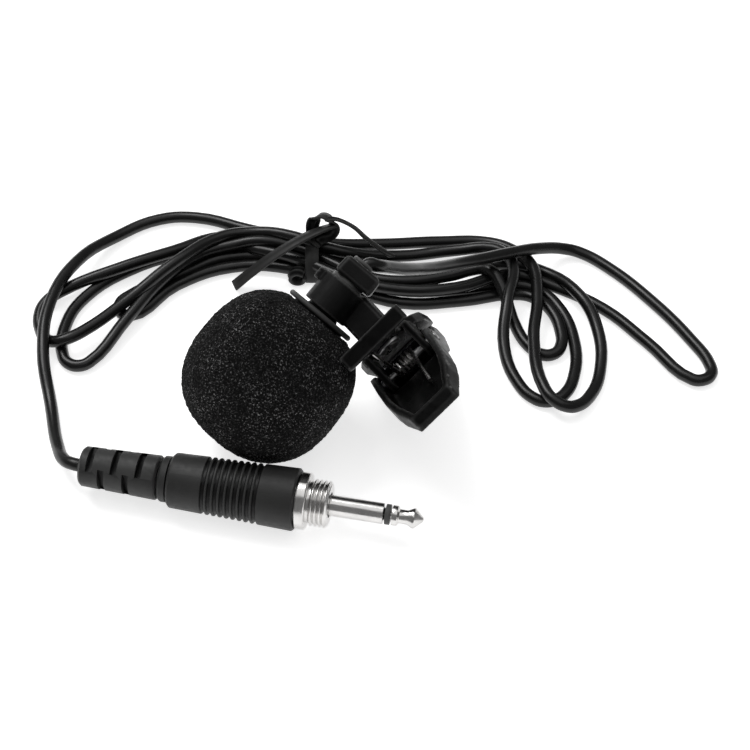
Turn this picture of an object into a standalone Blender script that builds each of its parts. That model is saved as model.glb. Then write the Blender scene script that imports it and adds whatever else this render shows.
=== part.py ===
"""Lavalier microphone: a foam-covered microphone on an alligator tie clip, its tied-up cord and a locking plug.

Metres, +Z up. The microphone leans on its foam ball and on the clip's mouth, and the cord and the plug lie
on the same surface, z = 0. Sizes below are in millimetres and become metres in the helpers.

Frames, each held by an empty:
  mic_frame    origin at the rear face of the flange, +Z along the axis towards the cord, +X towards the clip
  clip_frame   origin where the swivel axis meets the clip's outer face, +X to the finger end, +Z away from the mic
  jaw_frame    the same directions, origin on the jaw's hinge pin
  plug_frame   origin where the cord enters, +Z towards the tip
"""

import math

import bmesh
import bpy
from mathutils import Matrix, Vector

MM = 0.001
ROUND_STEPS = 32
SMALL_STEPS = 20
GAP = 0.3

# Where things lie
TABLE_ORIGIN = (9.16, 11.7, 0.0)
MIC_PLACE = (-8.8, -4.2, 20.98)
MIC_HEADING = 42.4
MIC_PITCH = 29.5
MIC_ROLL = 28.3
PLUG_PLACE = (-48.4, -24.0, 5.25)
PLUG_HEADING = -11.1

# Microphone
FLANGE_R = 6.4
FLANGE_T = 0.9
HEAD_R = 5.85
HEAD_LENGTH = 12.2
HEAD_WALL = 0.6
STEM_R = 2.9
STEM_LENGTH = 6.6
STEM_BORE_R = 1.5
GROMMET_END = 10.3
GROMMET_SIDE = 7.3
GROMMET_OFF_AXIS = 0.7
CAPSULE_R = 3.0
FOAM_R = 13.5
FOAM_WIDEST = -14.3
FOAM_REACH_BACK = 13.8
FOAM_REACH_FRONT = 13.2

# Clip
RING_R = 4.05
RING_BORE_R = 3.2
RING_ENDS = (0.5, 6.2)
SWIVEL_ALONG_MIC = 3.2
SWIVEL_OFF_AXIS = 9.7
CLIP_TILT = 11.0
CLIP_CANT = 7.0
CLIP_SWIVEL = 7.0
PLATE_T = 1.8
RIM_T = 2.8
PLATE_HALF_WIDTH = 6.9
FINGER_END = 9.4
MOUTH_END = -17.0
PIVOT = (-3.0, 6.0)
LEVER_HALF_WIDTH = 6.6
PIN_R = 0.8
WIRE_R = 0.35
COIL_R = 1.55
COIL_PITCH = 0.84
WHOLE_TURNS = 4

# Cord, hank and tie
CORD_R = 1.1
HANK_HEIGHT = 2.4
BUNDLE_BOTTOM = 0.9
BUNDLE_TOP = 5.4
TIE_WIDTH = 2.2
TIE_T = 0.5

# Plug
PIN_SHAFT_R = 1.75
SLEEVE_START = 15.2
SLEEVE_END = 36.5
GROOVES = 9
GROOVE_PITCH = 1.09

BLACK = (0.012, 0.012, 0.013)
SATIN_BLACK = (0.02, 0.02, 0.021)


# ---- Scene, materials and shared shapes ----


def clear_scene():
    for obj in list(bpy.data.objects):
        bpy.data.objects.remove(obj, do_unlink=True)


def new_collection(name):
    made = bpy.data.collections.new(name)
    bpy.context.scene.collection.children.link(made)
    return made


def material(name, colour, roughness, metallic=0.0):
    mat = bpy.data.materials.new(name)
    mat.use_nodes = True
    shader = mat.node_tree.nodes["Principled BSDF"]
    shader.inputs["Base Color"].default_value = (*colour, 1.0)
    shader.inputs["Roughness"].default_value = roughness
    shader.inputs["Metallic"].default_value = metallic
    mat.diffuse_color = (*colour, 1.0)
    return mat


def scaled(points):
    return [tuple(value * MM for value in point) for point in points]


def empty(name, parent, matrix):
    obj = bpy.data.objects.new(name, None)
    obj.empty_display_size = 5 * MM
    PARTS.objects.link(obj)
    obj.parent = parent
    obj.matrix_local = matrix
    return obj


def add(name, mesh, mat, parent, location=(0, 0, 0), rotation=(0, 0, 0)):
    """A named part. Its location is in millimetres and its rotation in degrees, both in its parent's frame."""
    obj = bpy.data.objects.new(name, mesh)
    PARTS.objects.link(obj)
    obj.parent = parent
    obj.location = [value * MM for value in location]
    obj.rotation_euler = [math.radians(value) for value in rotation]
    if mat is not None:
        mesh.materials.clear()
        mesh.materials.append(mat)
    return obj


def helper(obj):
    """Moves a shape that only cuts or joins another out of the parts."""
    PARTS.objects.unlink(obj)
    CUTTERS.objects.link(obj)
    obj.hide_render = True
    obj.display_type = "WIRE"
    return obj


def boolean(obj, other, operation):
    step = obj.modifiers.new(f"{operation.lower()}_{other.name}"[:60], "BOOLEAN")
    step.operation = operation
    step.solver = "EXACT"
    step.object = helper(other)
    return obj


def cut(obj, *others):
    for other in others:
        boolean(obj, other, "DIFFERENCE")
    return obj


def join(obj, *others):
    for other in others:
        boolean(obj, other, "UNION")
    return obj


def bevel(obj, width, segments=2, angle=40):
    step = obj.modifiers.new("rounded_edges", "BEVEL")
    step.width = width * MM
    step.segments = segments
    step.limit_method = "ANGLE"
    step.angle_limit = math.radians(angle)
    return obj


def turned(name, profile, mat, parent, steps=ROUND_STEPS, closed=False, **place):
    """A turned shape: (radius, height) pairs that run down its outer side, and back up its bore if closed."""
    count = len(profile)
    edges = [(i, i + 1) for i in range(count - 1)]
    if closed:
        edges.append((count - 1, 0))
    mesh = bpy.data.meshes.new(name)
    mesh.from_pydata(scaled([(radius, 0.0, height) for radius, height in profile]), edges, [])
    obj = add(name, mesh, mat, parent, **place)
    screw = obj.modifiers.new("turned", "SCREW")
    screw.axis = "Z"
    screw.steps = screw.render_steps = steps
    screw.use_merge_vertices = True
    screw.merge_threshold = 0.000001
    return obj


def cylinder(name, radius, bottom, top, mat, parent, steps=ROUND_STEPS, top_radius=None, **place):
    """A cylinder or cone along local Z."""
    shape = bmesh.new()
    bmesh.ops.create_cone(
        shape,
        cap_ends=True,
        segments=steps,
        radius1=radius * MM,
        radius2=(radius if top_radius is None else top_radius) * MM,
        depth=(top - bottom) * MM,
        matrix=Matrix.Translation((0, 0, (top + bottom) / 2 * MM)),
    )
    mesh = bpy.data.meshes.new(name)
    shape.to_mesh(mesh)
    shape.free()
    return add(name, mesh, mat, parent, **place)


def block(name, size, centre, mat, parent, top_scale=1.0, **place):
    """A box of a size about a centre; top_scale narrows its upper face."""
    shape = bmesh.new()
    bmesh.ops.create_cube(shape, size=MM)
    for vert in shape.verts:
        narrow = top_scale if vert.co.z > 0 else 1.0
        vert.co.x = vert.co.x * size[0] * narrow + centre[0] * MM
        vert.co.y = vert.co.y * size[1] * narrow + centre[1] * MM
        vert.co.z = vert.co.z * size[2] + centre[2] * MM
    mesh = bpy.data.meshes.new(name)
    shape.to_mesh(mesh)
    shape.free()
    return add(name, mesh, mat, parent, **place)


def curve_mesh(curve, weld=0.00001):
    """The closed mesh of a curve, with its loose caps welded to its sides."""
    carrier = bpy.data.objects.new(curve.name, curve)
    bpy.context.scene.collection.objects.link(carrier)
    graph = bpy.context.evaluated_depsgraph_get()
    mesh = bpy.data.meshes.new_from_object(carrier.evaluated_get(graph))
    bpy.data.objects.remove(carrier, do_unlink=True)
    shape = bmesh.new()
    shape.from_mesh(mesh)
    bmesh.ops.remove_doubles(shape, verts=shape.verts, dist=weld)
    bmesh.ops.recalc_face_normals(shape, faces=shape.faces)
    shape.to_mesh(mesh)
    shape.free()
    return mesh


def poly_spline(curve, points, cyclic):
    spline = curve.splines.new("POLY")
    spline.points.add(len(points) - 1)
    for point, place in zip(spline.points, points):
        point.co = (*place, 1.0)
    spline.use_cyclic_u = cyclic


def outline(name, points, bottom, top, mat, parent, **place):
    """A flat outline in XY, extruded from bottom to top."""
    curve = bpy.data.curves.new(name, "CURVE")
    curve.dimensions = "2D"
    curve.fill_mode = "BOTH"
    curve.extrude = (top - bottom) / 2 * MM
    poly_spline(curve, scaled([(x, y, 0.0) for x, y in points]), True)
    mesh = curve_mesh(curve)
    mesh.transform(Matrix.Translation((0, 0, (top + bottom) / 2 * MM)))
    return add(name, mesh, mat, parent, **place)


def side_outline(name, points, half_width, mat, parent, **place):
    """An outline in XZ, extruded across Y to both sides."""
    obj = outline(name, points, -half_width, half_width, mat, parent, **place)
    obj.data.transform(Matrix.Rotation(math.pi / 2, 4, "X"))
    return obj


def tube(name, points, radius, mat, parent, sides=2):
    """A round wire or cord through points in millimetres."""
    curve = bpy.data.curves.new(name, "CURVE")
    curve.dimensions = "3D"
    curve.bevel_depth = radius * MM
    curve.bevel_resolution = sides
    curve.use_fill_caps = True
    poly_spline(curve, scaled(points), False)
    curve.materials.append(mat)
    obj = bpy.data.objects.new(name, curve)
    PARTS.objects.link(obj)
    obj.parent = parent
    return obj


def smooth_route(points, spacing):
    """Points read at an even spacing from a smooth (Catmull-Rom) curve through the route's own points."""
    route = [Vector(point) for point in points]
    ends = [2 * route[0] - route[1], *route, 2 * route[-1] - route[-2]]
    fine = []
    for before, start, end, after in zip(ends, ends[1:], ends[2:], ends[3:]):
        for step in range(20):
            t = step / 20
            fine.append(
                0.5
                * (
                    2 * start
                    + (end - before) * t
                    + (2 * before - 5 * start + 4 * end - after) * t**2
                    + (3 * start - before - 3 * end + after) * t**3
                )
            )
    fine.append(route[-1])
    length = sum((b - a).length for a, b in zip(fine, fine[1:]))
    pieces = max(2, round(length / spacing))
    read, walked, target = [fine[0]], 0.0, length / pieces
    for a, b in zip(fine, fine[1:]):
        step = (b - a).length
        while walked + step >= target and len(read) < pieces:
            read.append(a.lerp(b, (target - walked) / step))
            target += length / pieces
        walked += step
    return [tuple(point) for point in [*read, fine[-1]]]


def axes_matrix(x, y, z, origin):
    """The frame with these unit axes and an origin in millimetres."""
    columns = [Vector(x), Vector(y), Vector(z), Vector(origin) * MM]
    matrix = Matrix.Identity(4)
    for index, column in enumerate(columns):
        for row in range(3):
            matrix[row][index] = column[row]
    return matrix


def arc(centre, radius, start, end, steps):
    """Points on an arc, from one angle in degrees to another."""
    angles = [math.radians(start + (end - start) * i / steps) for i in range(steps + 1)]
    return [(centre[0] + radius * math.cos(a), centre[1] + radius * math.sin(a)) for a in angles]


def mirrored(points):
    """The outline that these points, from one end to the other at positive Y, make with their mirror image."""
    return [*points, *[(x, -y) for x, y in reversed(points) if abs(y) > 1e-6]]


# ---- Frames ----


def mic_matrix():
    heading, pitch = math.radians(MIC_HEADING), math.radians(MIC_PITCH)
    along = Vector(
        (math.cos(pitch) * math.cos(heading), math.cos(pitch) * math.sin(heading), math.sin(pitch))
    )
    level = Vector((math.sin(heading), -math.cos(heading), 0.0))
    across = Matrix.Rotation(math.radians(MIC_ROLL), 3, along) @ level
    return axes_matrix(across, along.cross(across), along, MIC_PLACE)


def clip_matrix():
    tilt = math.radians(CLIP_TILT)
    finger = Vector((-math.sin(tilt), -math.cos(tilt), 0.0))
    away = Vector((math.cos(tilt), -math.sin(tilt), 0.0))
    cant = Matrix.Rotation(math.radians(CLIP_CANT), 3, "Y")
    finger, away = cant @ finger, cant @ away
    finger = Matrix.Rotation(math.radians(CLIP_SWIVEL), 3, away) @ finger
    origin = (SWIVEL_OFF_AXIS, 0.0, SWIVEL_ALONG_MIC)
    return axes_matrix(finger, away.cross(finger), away, origin)


def plug_matrix():
    heading = math.radians(PLUG_HEADING)
    along = Vector((math.cos(heading), math.sin(heading), 0.0))
    up = Vector((0.0, 0.0, 1.0))
    return axes_matrix(up, along.cross(up), along, PLUG_PLACE)


# ---- Microphone ----


def superellipse_radius(height, reach, power):
    return FOAM_R * (1 - min(1.0, abs(height - FOAM_WIDEST) / reach) ** power) ** (1 / power)


def windscreen():
    mouth, pole = -FLANGE_T - GAP, FOAM_WIDEST - FOAM_REACH_FRONT
    steps = 16
    outer = []
    for i in range(steps + 1):
        angle = math.pi * i / steps
        if math.cos(angle) >= 0:
            height = FOAM_WIDEST + (mouth - FOAM_WIDEST) * math.cos(angle)
            outer.append((superellipse_radius(height, FOAM_REACH_BACK, 2.6), height))
        else:
            height = FOAM_WIDEST + (FOAM_WIDEST - pole) * math.cos(angle)
            outer.append((superellipse_radius(height, FOAM_REACH_FRONT, 2.3), height))
    outer[-1] = (0.0, pole)
    bore = HEAD_R + GAP
    inner = [(0.0, -HEAD_LENGTH - GAP), (bore, -HEAD_LENGTH - GAP), (bore, mouth)]
    return turned("windscreen", [*outer, *inner], FOAM, MIC, steps=40, closed=True)


def mic_body():
    spigot = HEAD_R - HEAD_WALL - GAP
    outer = [
        (STEM_R, STEM_LENGTH),
        (STEM_R, 0.3),
        (STEM_R + 0.2, 0.0),
        (FLANGE_R - 0.25, 0.0),
        (FLANGE_R, -0.25),
        (FLANGE_R, -FLANGE_T + 0.25),
        (FLANGE_R - 0.25, -FLANGE_T),
        (spigot, -FLANGE_T),
        (spigot, -3.6),
    ]
    inner = [(spigot - 0.9, -3.6), (spigot - 0.9, -2.0), (STEM_BORE_R, -1.2), (STEM_BORE_R, STEM_LENGTH)]
    return turned("mic_body", [*outer, *inner], BLACK_PLASTIC, MIC, closed=True)


def head_cap():
    bottom, bore = -HEAD_LENGTH, HEAD_R - HEAD_WALL
    top = -FLANGE_T - GAP
    outer = [(HEAD_R, top), (HEAD_R, bottom + 0.3), (HEAD_R - 0.3, bottom), (4.5, bottom)]
    inner = [(4.5, bottom + 0.5), (bore, bottom + 0.5), (bore, top)]
    return turned("head_cap", [*outer, *inner], BLACK_METAL, MIC, closed=True)


def front_grille():
    disc = cylinder("front_grille", 5.0, -11.4, -10.9, BLACK_METAL, MIC)
    hole = 0.5
    rings = [(0.0, 1), (1.8, 6), (3.6, 12)]
    shape = bmesh.new()
    for radius, count in rings:
        for i in range(count):
            angle = 2 * math.pi * i / count
            place = (radius * math.cos(angle) * MM, radius * math.sin(angle) * MM, -11.15 * MM)
            bmesh.ops.create_cone(
                shape,
                cap_ends=True,
                segments=6,
                radius1=hole * MM,
                radius2=hole * MM,
                depth=2 * MM,
                matrix=Matrix.Translation(place),
            )
    mesh = bpy.data.meshes.new("grille_holes")
    shape.to_mesh(mesh)
    shape.free()
    return cut(disc, add("grille_holes", mesh, None, MIC))


def capsule():
    """The electret capsule and what holds it, from the front backwards."""
    cylinder("dust_cloth", 5.0, -10.6, -10.3, CLOTH, MIC)
    boot = [(5.0, -4.0), (5.0, -10.0), (CAPSULE_R + GAP, -10.0), (CAPSULE_R + GAP, -4.0)]
    turned("capsule_boot", boot, RUBBER, MIC, closed=True)
    wall = CAPSULE_R - 0.3
    can = [(CAPSULE_R, -4.6), (CAPSULE_R, -9.8), (0.8, -9.8), (0.8, -9.5), (wall, -9.5), (wall, -4.6)]
    turned("capsule_can", can, ALUMINIUM, MIC, closed=True)
    cylinder("diaphragm", wall - GAP, -9.2, -9.0, CONTACT_METAL, MIC, steps=24)
    cylinder("backplate", wall - GAP, -8.7, -8.1, CONTACT_METAL, MIC, steps=24)
    spacer = [(wall - GAP, -5.9), (wall - GAP, -7.8), (1.9, -7.8), (1.9, -5.9)]
    turned("capsule_spacer", spacer, WHITE_PLASTIC, MIC, steps=24, closed=True)
    block("capsule_transistor", (1.6, 1.3, 1.0), (0, 0, -6.9), BLACK_PLASTIC, MIC)
    cylinder("capsule_board", wall - GAP, -5.6, -5.0, CIRCUIT_BOARD, MIC, steps=24)


def core_wires():
    """The cord's two cores, from the capsule's board to the grommet."""
    end = GROMMET_END - 0.4
    for name, side in (("signal_wire", 1), ("ground_wire", -1)):
        route = [(0, side * 1.3, -4.7), (0, side * 1.3, -3.4), (0, side * 0.6, -1.0), (0, side * 0.6, end)]
        tube(name, route, 0.3, COPPER, MIC)


def cable_grommet():
    start = STEM_LENGTH + GAP
    size = (GROMMET_SIDE, GROMMET_SIDE, GROMMET_END - start)
    middle = (GROMMET_OFF_AXIS, 0, (GROMMET_END + start) / 2)
    body = block("cable_grommet", size, middle, BLACK_PLASTIC, MIC, top_scale=0.95)
    bevel(body, 0.5, segments=1)
    hole = cylinder("grommet_bore", STEM_BORE_R, start - 1, GROMMET_END + 1, None, MIC, steps=SMALL_STEPS)
    groove = block("grommet_seam", (1.4, 0.5, 5.0), (GROMMET_OFF_AXIS - 3.6, 0, 9.0), None, MIC)
    return cut(body, hole, groove)


# ---- Clip ----


def holder_ring():
    """The split ring that grips the stem, with the boss that carries the clip."""
    start, end = RING_ENDS
    ring = cylinder("holder_ring", RING_R, start, end, BLACK_PLASTIC, MIC)
    reach = SWIVEL_OFF_AXIS - RING_R + 0.8
    boss = block("ring_boss", (4.9, 5.8, reach - GAP), (0, 0, -(reach + GAP) / 2), None, CLIP)
    bevel(boss, 0.5, segments=1)
    stud = cylinder("ring_stud", 1.4, -2.0, PLATE_T, None, CLIP, steps=SMALL_STEPS)
    lips = block("ring_lips", (1.6, 2.4, 2.0), (-RING_R - 0.2, 0, 4.9), None, MIC)
    join(ring, boss, stud, lips)
    bore = cylinder("ring_bore", RING_BORE_R, start - 1, end + 1, None, MIC)
    split = block("ring_split", (3.0, 0.7, 8.0), (-RING_R - 0.6, 0, 3.4), None, MIC)
    thread = cylinder("stud_bore", 0.75, -3.0, PLATE_T + 1, None, CLIP, steps=12)
    return cut(ring, bore, split, thread)


def swivel_screw():
    """The screw that keeps the clip on the ring's stud, with a driver slot."""
    under = PLATE_T + GAP
    profile = [(0.0, under + 0.9), (1.7, under + 0.9), (2.3, under + 0.5), (2.3, under)]
    profile += [(0.45, under), (0.45, -2.6), (0.0, -2.6)]
    screw = turned("swivel_screw", profile, STEEL, CLIP, steps=SMALL_STEPS)
    slot = block("screw_slot", (5.0, 0.5, 0.8), (0, 0, under + 0.9), None, CLIP)
    return cut(screw, slot)


def plate_outline(inset=0.0):
    """The upper jaw's plan: square finger end, waist beside the foam, slightly rounded mouth."""
    half = PLATE_HALF_WIDTH - inset
    finger, mouth = FINGER_END - inset, MOUTH_END + inset
    corner, bite, waist, waist_half = 1.6, 4.3, 1.3, 9.2

    def edge(x):
        return half - bite * math.cos(math.pi / 2 * (x - waist) / waist_half) ** 2

    chamfer = 0.5
    side = arc((mouth + corner, half - corner), corner, 180, 90, 4)
    side += [(x, edge(x)) for x in (-7.9, -4.8, -1.8, 1.3, 4.4, 6.6, finger - chamfer)]
    side.append((finger, edge(finger - chamfer) - chamfer))
    return mirrored(side)


def ear(name, side, inner, outer, parent):
    """A lug from the plate up round the hinge pin, between two distances from the middle."""
    x, z = PIVOT
    top = arc((x, z), 2.1, 0, 180, 8)
    profile = [*top, (x - 3.2, 1.0), (x + 3.2, 1.0)]
    lug = side_outline(name, profile, (outer - inner) / 2, None, parent)
    lug.location.y = side * (inner + outer) / 2 * MM
    return lug


def teeth(name, start, height, base, parent):
    """Ridges across the jaw near its mouth, as one comb-shaped solid."""
    pitch, count = 1.1, 4
    tip = [(start, base)]
    for i in range(count):
        tip += [(start + (i + 0.5) * pitch, height), (start + (i + 1) * pitch, base)]
    back = 0.8 if height > base else -0.8
    profile = [*tip, (start + count * pitch, base - back), (start, base - back)]
    return side_outline(name, profile, LEVER_HALF_WIDTH - 2.0, None, parent)


def clip_jaw_upper():
    jaw = outline("clip_jaw_upper", plate_outline(), 0.0, RIM_T, GLOSS_BLACK, CLIP)
    pocket = [(-14, 20), (-14, -20), (0.5, -20), (0.5, -5.7)]
    pocket += [(FINGER_END - 1.2, -5.7), (FINGER_END - 1.2, 5.7), (0.5, 5.7), (0.5, 20)]
    mouth = block("mouth_clearance", (8.0, 20.0, 2.0), (-17.5, 0, PLATE_T + 1.0), None, CLIP)
    cut(jaw, outline("plate_pocket", pocket, PLATE_T, 6.0, None, CLIP), mouth)
    join(jaw, ear("ear_near", -1, 3.75, 5.0, CLIP), ear("ear_far", 1, 3.75, 5.0, CLIP))
    join(jaw, teeth("upper_teeth", MOUTH_END + 0.6, PLATE_T + 0.25, PLATE_T - 0.1, CLIP))
    x, z = PIVOT
    pin = cylinder("upper_pin_hole", PIN_R + 0.1, -9, 9, None, CLIP, SMALL_STEPS,
                   location=(x, 0, z), rotation=(90, 0, 0))
    swivel = cylinder("swivel_hole", 1.7, -2, 5, None, CLIP, steps=24)
    return cut(jaw, pin, swivel)


def clip_jaw_lower():
    """A tray-shaped lever: finger end at +X, pin at the origin, toothed mouth at -X."""
    x, z = PIVOT
    mouth, tip = MOUTH_END - x, 15.4
    bite = PLATE_T + 0.75 - z
    outside = [(tip, 12.7), (3.0, 4.0), (1.0, 3.7), (-3.2, 3.1), (mouth + 1.0, -0.9), (mouth, -2.0)]
    inside = [(mouth, bite), (mouth + 6.0, bite), (-5.0, -1.9), (-1.2, -2.1), (1.2, -2.0)]
    inside += [(3.2, -0.6), (tip + 0.4, 9.9), (tip + 0.9, 12.0)]
    jaw = side_outline("clip_jaw_lower", [*outside, *inside], LEVER_HALF_WIDTH + 1.0, GLOSS_BLACK, JAW)
    wide = LEVER_HALF_WIDTH
    plan = arc((mouth + 1.6, wide - 1.6), 1.6, 180, 90, 4)
    plan += [(5.0, wide), (8.5, wide - 0.15), (11.5, wide - 0.8), (14.2, wide - 1.9), (17.5, wide - 3.1)]
    keep = outline("lower_plan", mirrored(plan), -8.0, 16.0, None, JAW)
    boolean(jaw, keep, "INTERSECT")
    hollow = [(tip - 1.1, 11.0), (3.0, 2.8), (1.0, 2.6), (-3.0, 2.0), (mouth + 6.6, -0.5), (mouth + 6.6, -6.0)]
    hollow += [(2.0, -6.0), (18.0, 5.0), (tip - 0.2, 9.6)]
    inner_plan = [(-9.0, wide - 1.2), (5.0, wide - 1.2), (8.3, wide - 1.37), (11.1, wide - 2.0)]
    inner_plan += [(13.8, wide - 3.05), (17.8, wide - 4.4)]
    tray = side_outline("tray_hollow", hollow, wide, None, JAW)
    boolean(tray, outline("hollow_plan", mirrored(inner_plan), -9.0, 17.0, None, JAW), "INTERSECT")
    cut(jaw, tray)
    pin = cylinder("lower_pin_hole", PIN_R + 0.1, -9, 9, None, JAW, SMALL_STEPS, rotation=(90, 0, 0))
    join(jaw, teeth("lower_teeth", mouth + 0.05, bite - 0.2, bite + 0.15, JAW))
    return cut(jaw, pin)


def jaw_pin():
    x, z = PIVOT
    end = LEVER_HALF_WIDTH + 0.2
    return cylinder("jaw_pin", PIN_R, -end, end, STEEL, CLIP, SMALL_STEPS, location=(x, 0, z), rotation=(90, 0, 0))


def jaw_spring():
    """A torsion spring round the pin. Each leg leaves the coil straight and lies on its own jaw."""
    x, z = PIVOT
    lever_leg, plate_leg = -54.0, 75.0
    per_turn = 10
    turned_by = 360.0 * WHOLE_TURNS + (lever_leg - plate_leg) % 360.0
    count = round(turned_by / 360.0 * per_turn)
    half = turned_by / 360.0 * COIL_PITCH / 2
    coil = []
    for i in range(count + 1):
        angle = math.radians(lever_leg - turned_by * i / count)
        across = -half + 2 * half * i / count
        coil.append((x + COIL_R * math.cos(angle), across, z + COIL_R * math.sin(angle)))
    route = [(x + 10.2, -half, z + 6.6), *coil, (x + 9.5, half, z - 3.3)]
    return tube("jaw_spring", route, WIRE_R, SPRING_STEEL, CLIP)


# ---- Plug ----


def strain_relief():
    """A tapered sleeve with pairs of windows, each pair turned a quarter from the last."""
    end = 13.2
    profile = [(0.0, end), (3.5, end), (3.75, end - 0.3), (3.35, 0.4), (3.0, 0.0), (0.0, 0.0)]
    body = turned("strain_relief", profile, MOULDED_BLACK, PLUG, steps=24)
    slot, pitch, reach = 1.1, 2.1, 4.0
    shape = bmesh.new()
    for i in range(5):
        across = Matrix.Rotation(math.pi / 2 * (i % 2), 4, "Z")
        for side in (-1, 1):
            place = Matrix.Translation((side * (1.9 + reach / 2) * MM, 0, (1.9 + pitch * i) * MM))
            size = Matrix.Diagonal((reach * MM, 5.2 * MM, slot * MM, 1.0))
            bmesh.ops.create_cube(shape, size=1.0, matrix=across @ place @ size)
    mesh = bpy.data.meshes.new("relief_windows")
    shape.to_mesh(mesh)
    shape.free()
    return cut(body, add("relief_windows", mesh, None, PLUG))


def plug_core():
    """The moulded core that carries the contacts; the locking sleeve turns on its barrel."""
    neck, barrel, bore = 3.85, 3.0, 2.3
    outer = [(barrel, 33.0), (barrel, SLEEVE_START - GAP), (neck, SLEEVE_START - GAP)]
    outer += [(neck, 13.9), (neck - 0.35, 13.5), (0.0, 13.5)]
    inner = [(0.0, 19.0), (bore, 19.0), (bore, 33.0)]
    return turned("plug_core", [*outer, *inner], MOULDED_BLACK, PLUG, closed=True)


def lock_grip():
    """The ribbed grip of the locking sleeve."""
    rear, front = 4.6, 5.2

    def radius(height):
        return rear + (front - rear) * (height - SLEEVE_START) / (SLEEVE_END - SLEEVE_START)

    outer = [(front - 0.3, SLEEVE_END), (front, SLEEVE_END - 0.3)]
    first = 21.4
    for i in reversed(range(GROOVES)):
        middle = first + i * GROOVE_PITCH
        for offset, depth in ((0.4, 0.0), (0.22, 0.38), (-0.22, 0.38), (-0.4, 0.0)):
            outer.append((radius(middle + offset) - depth, middle + offset))
    outer += [(rear, SLEEVE_START + 0.4), (rear - 0.4, SLEEVE_START)]
    inner = [(3.3, SLEEVE_START), (3.3, 33.0), (4.3, 33.0), (4.3, SLEEVE_END)]
    return turned("lock_grip", [*outer, *inner], MOULDED_BLACK, PLUG, closed=True)


def lock_bush():
    """The nickel bush pressed in the grip, with the locking thread."""
    flange, core, crest, bore = 4.7, 3.45, 3.9, 2.1
    face = 41.9
    outer = [(core, face), (core, face - 0.1)]
    for i in range(4):
        top = face - 0.15 - 0.75 * i
        outer += [(crest, top - 0.25), (crest, top - 0.4), (core, top - 0.65)]
    seat = SLEEVE_END + GAP
    outer += [(core, 38.3), (flange - 0.2, 38.3), (flange, 38.1), (flange, seat), (4.0, seat), (4.0, 34.0)]
    inner = [(bore, 34.0), (bore, face)]
    return turned("lock_bush", [*outer, *inner], NICKEL, PLUG, closed=True)


def contacts():
    """The pin: a hollow shaft, an insulator and the tip on its rod, one inside the other."""
    shaft = [(PIN_SHAFT_R, 50.8), (PIN_SHAFT_R, 29.0), (1.15, 29.0), (1.15, 50.8)]
    turned("pin_shaft", shaft, NICKEL, PLUG, steps=24, closed=True)
    ring = [(1.7, 51.9), (1.7, 51.1), (0.95, 51.1), (0.95, 28.0), (0.7, 28.0), (0.7, 51.9)]
    turned("pin_insulator", ring, BLACK_PLASTIC, PLUG, steps=24, closed=True)
    tip = [(0.0, 57.4), (0.4, 57.3), (1.7, 55.9), (1.7, 55.6), (1.2, 54.7), (1.2, 53.4), (1.7, 53.1)]
    tip += [(1.7, 52.2), (0.5, 52.2), (0.5, 26.5), (0.0, 26.5)]
    turned("pin_tip", tip, NICKEL, PLUG, steps=24)
    for name, side, end in (("plug_signal_wire", 0, 26.2), ("plug_ground_wire", 1, 28.7)):
        route = [(0, side * 1.45, 19.3), (0, side * 1.45, end)]
        tube(name, route, 0.3, COPPER, PLUG)


# ---- Cord ----

LEAD_ROUTE = [
    (-1.1, 2.1, 26.1),
    (0.2, 3.5, 25.9),
    (1.6, 6.2, 22.8),
    (3.8, 10.4, 16.9),
    (6.4, 14.2, 12.1),
    (9.4, 17.0, 9.2),
    (12.6, 18.9, 7.8),
    (17.7, 21.0, 7.0),
    (23.5, 22.8, 6.8),
    (28.1, 25.3, 5.6),
    (32.8, 28.1, 3.0),
    (37.6, 28.8, 1.4),
    (41.8, 26.0, 1.15),
    (46.6, 20.8, 1.15),
    (51.5, 14.6, 1.15),
    (56.1, 7.4, 1.15),
    (58.9, 2.3, 1.15),
    (59.2, -1.2, 1.15),
    (57.6, -3.0, 1.15),
    (55.1, -1.8, 1.15),
    (51.2, 2.8, 1.15),
    (47.3, 7.9, 1.15),
    (43.6, 12.3, 1.2),
]
TAIL_ROUTE = [
    (-25.2, 33.4, 3.0),
    (-31.1, 37.2, 1.4),
    (-37.3, 38.0, 1.15),
    (-42.3, 36.7, 1.15),
    (-47.7, 33.0, 1.3),
    (-51.7, 28.6, 2.6),
    (-55.0, 22.8, 4.0),
    (-57.2, 17.3, 4.2),
    (-58.4, 12.4, 4.2),
    (-58.7, 6.7, 4.1),
    (-58.2, 2.2, 3.2),
    (-57.2, -3.0, 1.7),
    (-55.6, -9.5, 1.2),
    (-54.4, -15.2, 1.8),
    (-53.0, -19.6, 3.2),
    (-51.6, -22.4, 4.6),
    (-50.3, -23.5, 5.15),
    (-49.0, -23.88, 5.25),
]


def cord():
    tube("cord_lead", smooth_route(LEAD_ROUTE, 2.6 * 2 * CORD_R), CORD_R, CORD_BLACK, TABLE)
    tube("cord_tail", smooth_route(TAIL_ROUTE, 2.6 * 2 * CORD_R), CORD_R, CORD_BLACK, TABLE)


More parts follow.
